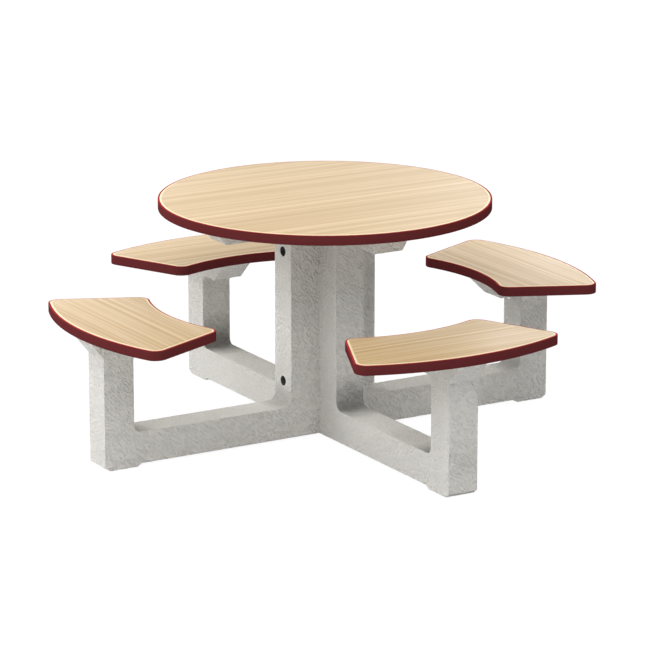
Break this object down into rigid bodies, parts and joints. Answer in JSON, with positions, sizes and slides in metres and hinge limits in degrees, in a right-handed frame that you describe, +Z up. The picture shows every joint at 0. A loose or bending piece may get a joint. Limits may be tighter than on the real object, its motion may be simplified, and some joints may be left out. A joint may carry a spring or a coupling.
{
  "type": "table with attached seats",
  "caption": "Round table with curved bench seats on a cross-shaped precast concrete base that carries the table on a centre column and each seat on its own post.",
  "frame": {"origin": "on the floor, below the centre of the table", "axes": "+Z up; +X to the right and +Y to the back, each along one pair of seats; the full-length frame lies along Y"},
  "size_m": [1.7458, 1.7458, 0.762],
  "materials": {
    "concrete": "precast concrete, lightly blasted, matte",
    "laminate": "satin laminate with a light wood grain",
    "core": "bare board",
    "backer": "plain matte sheet",
    "edge_band": "burgundy, satin",
    "zinc_steel": "zinc plated"
  },
  "bodies": {
    "root": {"main_frame": "concrete", "left_half_frame": "concrete", "right_half_frame": "concrete", "frame_rods": "zinc_steel", "frame_rod_washers": "zinc_steel", "frame_rod_nuts": "zinc_steel", "tabletop_laminate": "laminate", "tabletop_core": "core", "tabletop_backer": "backer", "tabletop_edge_band": "edge_band", "tabletop_bolts": "zinc_steel", "tabletop_washers": "zinc_steel", "tabletop_inserts": "zinc_steel", "seat_right_laminate": "laminate", "seat_right_core": "core", "seat_right_backer": "backer", "seat_right_edge_band": "edge_band", "seat_right_bolts": "zinc_steel", "seat_right_washers": "zinc_steel", "seat_right_inserts": "zinc_steel", "seat_back_laminate": "laminate", "seat_back_core": "core", "seat_back_backer": "backer", "seat_back_edge_band": "edge_band", "seat_back_bolts": "zinc_steel", "seat_back_washers": "zinc_steel", "seat_back_inserts": "zinc_steel", "seat_left_laminate": "laminate", "seat_left_core": "core", "seat_left_backer": "backer", "seat_left_edge_band": "edge_band", "seat_left_bolts": "zinc_steel", "seat_left_washers": "zinc_steel", "seat_left_inserts": "zinc_steel", "seat_front_laminate": "laminate", "seat_front_core": "core", "seat_front_backer": "backer", "seat_front_edge_band": "edge_band", "seat_front_bolts": "zinc_steel", "seat_front_washers": "zinc_steel", "seat_front_inserts": "zinc_steel"}
  },
  "joints": []
}
